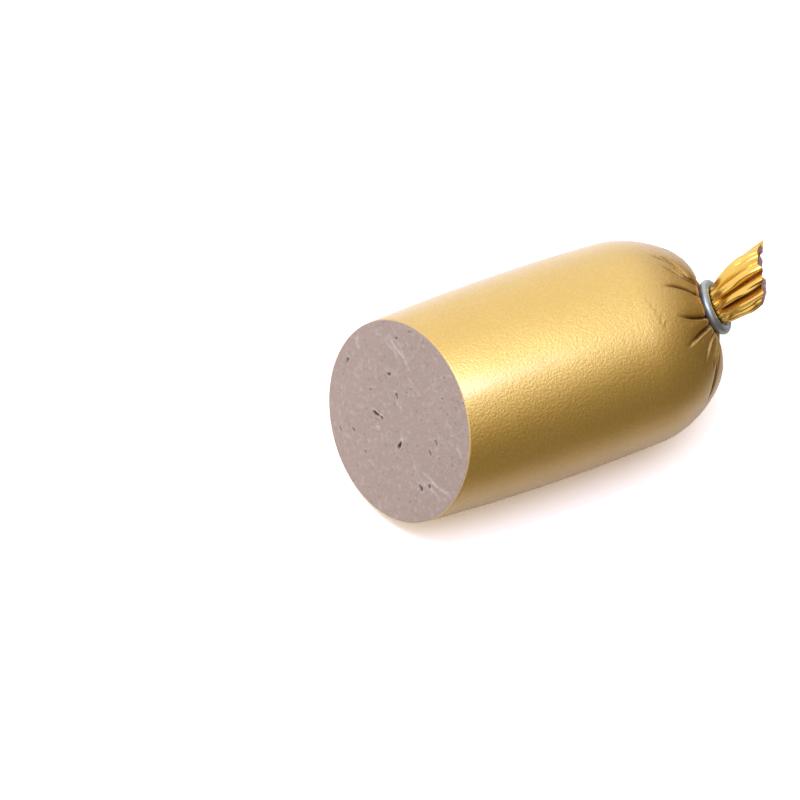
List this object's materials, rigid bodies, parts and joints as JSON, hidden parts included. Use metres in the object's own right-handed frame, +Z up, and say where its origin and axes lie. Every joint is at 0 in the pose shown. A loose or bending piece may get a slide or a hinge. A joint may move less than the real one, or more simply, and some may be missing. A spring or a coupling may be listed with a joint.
{
  "type": "liver sausage",
  "caption": "Cut half of a liver sausage in a metallic film casing, gathered and closed with a wire clip at one end.",
  "frame": {"origin": "centre of the settled flat that the sausage rests on, below its widest point", "axes": "+X along the sausage from the cut towards the clip and tail, +Z up, +Y to the left when looking along +X"},
  "size_m": [0.1254, 0.06, 0.0591],
  "materials": {
    "casing_film": "satin gold metallised plastic film",
    "liver_meat": "smooth mauve grey cooked meat, slightly moist",
    "clip_wire": "dull drawn wire"
  },
  "bodies": {
    "root": {"casing": "casing_film", "filling": "liver_meat", "clip": "clip_wire"}
  },
  "joints": []
}
